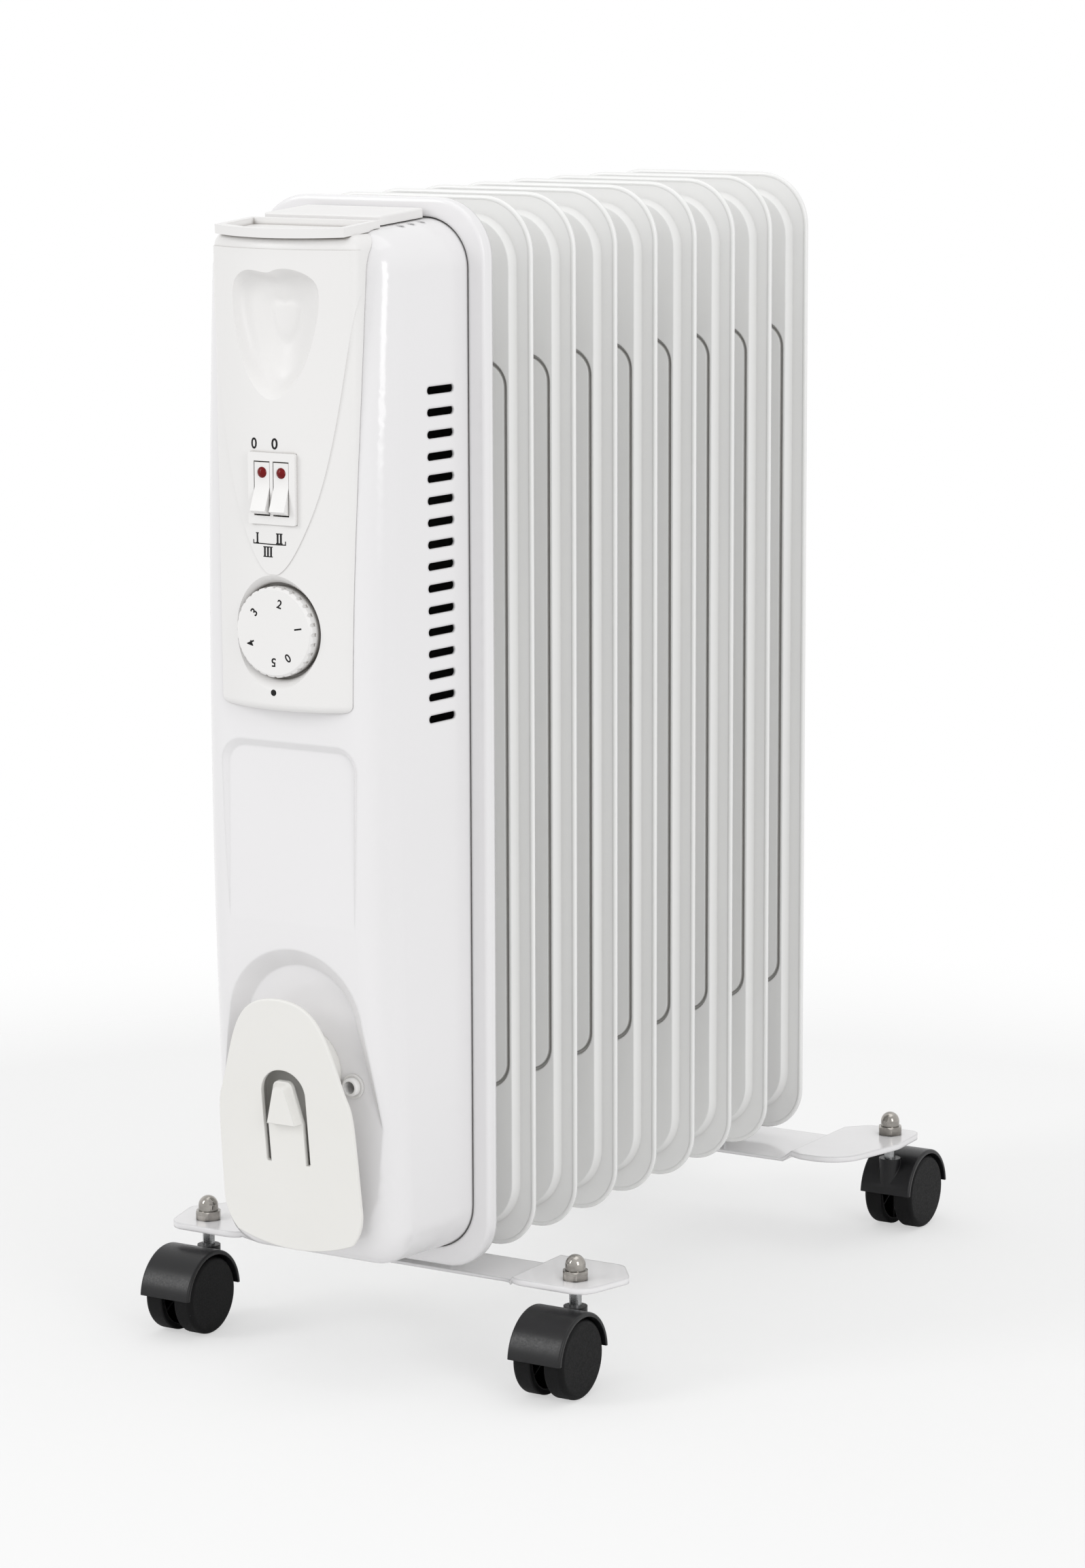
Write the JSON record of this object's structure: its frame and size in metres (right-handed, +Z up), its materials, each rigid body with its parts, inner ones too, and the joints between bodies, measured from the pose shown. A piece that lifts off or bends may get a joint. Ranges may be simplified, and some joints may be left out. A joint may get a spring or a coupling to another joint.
{
  "type": "oil filled radiator heater",
  "caption": "White finned oil radiator heater with a bowed control cover, rocker switches, thermostat knob and cord wrap, rolling on swivel twin-wheel casters.",
  "frame": {"origin": "on the floor, under the middle of the part's bounding box", "axes": "+Z up; the control panel faces -Y; +X is to the right of someone facing the controls"},
  "size_m": [0.2906, 0.5257, 0.6418],
  "materials": {
    "fin_enamel": "gloss stove enamel",
    "cover_enamel": "gloss stove enamel",
    "white_plastic": "semi gloss moulding",
    "satin_plastic": "satin moulding",
    "dark_plastic": "matte moulding",
    "black_plastic": "matte moulding",
    "red_lens": "clear red moulding",
    "plated_steel": "zinc plated",
    "bright_nickel": "bright nickel plated",
    "element_sheath": "drawn tube"
  },
  "bodies": {
    "heater": {"fin_1": "fin_enamel", "fin_2": "fin_enamel", "fin_3": "fin_enamel", "fin_4": "fin_enamel", "fin_5": "fin_enamel", "fin_6": "fin_enamel", "fin_7": "fin_enamel", "fin_8": "fin_enamel", "fin_9": "fin_enamel", "upper_headers": "fin_enamel", "lower_headers": "fin_enamel", "element_flange": "plated_steel", "heating_rods": "element_sheath", "cover_frame": "cover_enamel", "front_cover": "cover_enamel", "control_box": "white_plastic", "top_plate": "white_plastic", "switch_bezel": "white_plastic", "switch_body": "dark_plastic", "thermostat_body": "plated_steel", "thermal_cutout": "dark_plastic", "terminal_block": "dark_plastic", "cord_wrap_plate": "satin_plastic", "cord_wrap_drum": "satin_plastic", "wrap_screws": "plated_steel", "cord_gland": "white_plastic", "cover_tab": "plated_steel", "cover_screws": "plated_steel", "foot_front": "cover_enamel", "foot_rear": "cover_enamel", "foot_ubolts": "plated_steel", "foot_wing_nuts": "plated_steel", "caster_stems": "plated_steel", "acorn_nuts": "bright_nickel"},
    "caster_front_left": {"hood_front_left": "black_plastic", "axle_front_left": "plated_steel"},
    "wheel_front_left_left": {"wheel_front_left_left": "black_plastic"},
    "wheel_front_left_right": {"wheel_front_left_right": "black_plastic"},
    "caster_front_right": {"hood_front_right": "black_plastic", "axle_front_right": "plated_steel"},
    "wheel_front_right_left": {"wheel_front_right_left": "black_plastic"},
    "wheel_front_right_right": {"wheel_front_right_right": "black_plastic"},
    "caster_rear_left": {"hood_rear_left": "black_plastic", "axle_rear_left": "plated_steel"},
    "wheel_rear_left_left": {"wheel_rear_left_left": "black_plastic"},
    "wheel_rear_left_right": {"wheel_rear_left_right": "black_plastic"},
    "caster_rear_right": {"hood_rear_right": "black_plastic", "axle_rear_right": "plated_steel"},
    "wheel_rear_right_left": {"wheel_rear_right_left": "black_plastic"},
    "wheel_rear_right_right": {"wheel_rear_right_right": "black_plastic"},
    "thermostat_dial": {"knob": "white_plastic", "thermostat_shaft": "plated_steel"},
    "switch_left": {"rocker_left": "white_plastic", "lens_left": "red_lens"},
    "switch_right": {"rocker_right": "white_plastic", "lens_right": "red_lens"}
  },
  "joints": [
    {"name": "swivel_front_left", "type": "hinge", "parent": "heater", "child": "caster_front_left", "pos_m": [-0.1217, -0.15434, 0.0405], "axis": [0, 0, 1], "continuous": true},
    {"name": "roll_front_left_left", "type": "hinge", "parent": "caster_front_left", "child": "wheel_front_left_left", "pos_m": [-0.1217, -0.17304, 0.0222], "axis": [1, 0, 0], "continuous": true},
    {"name": "roll_front_left_right", "type": "hinge", "parent": "caster_front_left", "child": "wheel_front_left_right", "pos_m": [-0.1217, -0.17304, 0.0222], "axis": [1, 0, 0], "continuous": true},
    {"name": "swivel_front_right", "type": "hinge", "parent": "heater", "child": "caster_front_right", "pos_m": [0.1217, -0.15434, 0.0405], "axis": [0, 0, 1], "continuous": true},
    {"name": "roll_front_right_left", "type": "hinge", "parent": "caster_front_right", "child": "wheel_front_right_left", "pos_m": [0.1217, -0.17304, 0.0222], "axis": [1, 0, 0], "continuous": true},
    {"name": "roll_front_right_right", "type": "hinge", "parent": "caster_front_right", "child": "wheel_front_right_right", "pos_m": [0.1217, -0.17304, 0.0222], "axis": [1, 0, 0], "continuous": true},
    {"name": "swivel_rear_left", "type": "hinge", "parent": "heater", "child": "caster_rear_left", "pos_m": [-0.1217, 0.21816, 0.0405], "axis": [0, 0, 1], "continuous": true},
    {"name": "roll_rear_left_left", "type": "hinge", "parent": "caster_rear_left", "child": "wheel_rear_left_left", "pos_m": [-0.1217, 0.23686, 0.0222], "axis": [1, 0, 0], "continuous": true},
    {"name": "roll_rear_left_right", "type": "hinge", "parent": "caster_rear_left", "child": "wheel_rear_left_right", "pos_m": [-0.1217, 0.23686, 0.0222], "axis": [1, 0, 0], "continuous": true},
    {"name": "swivel_rear_right", "type": "hinge", "parent": "heater", "child": "caster_rear_right", "pos_m": [0.1217, 0.21816, 0.0405], "axis": [0, 0, 1], "continuous": true},
    {"name": "roll_rear_right_left", "type": "hinge", "parent": "caster_rear_right", "child": "wheel_rear_right_left", "pos_m": [0.1217, 0.23686, 0.0222], "axis": [1, 0, 0], "continuous": true},
    {"name": "roll_rear_right_right", "type": "hinge", "parent": "caster_rear_right", "child": "wheel_rear_right_right", "pos_m": [0.1217, 0.23686, 0.0222], "axis": [1, 0, 0], "continuous": true},
    {"name": "thermostat_turn", "type": "hinge", "parent": "heater", "child": "thermostat_dial", "pos_m": [0, -0.25264, 0.4185], "axis": [0, -1, 0], "range_deg": [0, 325]},
    {"name": "switch_left_tip", "type": "hinge", "parent": "heater", "child": "switch_left", "pos_m": [-0.006, -0.25484, 0.4942], "axis": [1, 0, 0], "range_deg": [0, 22]},
    {"name": "switch_right_tip", "type": "hinge", "parent": "heater", "child": "switch_right", "pos_m": [0.006, -0.25484, 0.4942], "axis": [1, 0, 0], "range_deg": [0, 22]}
  ]
}
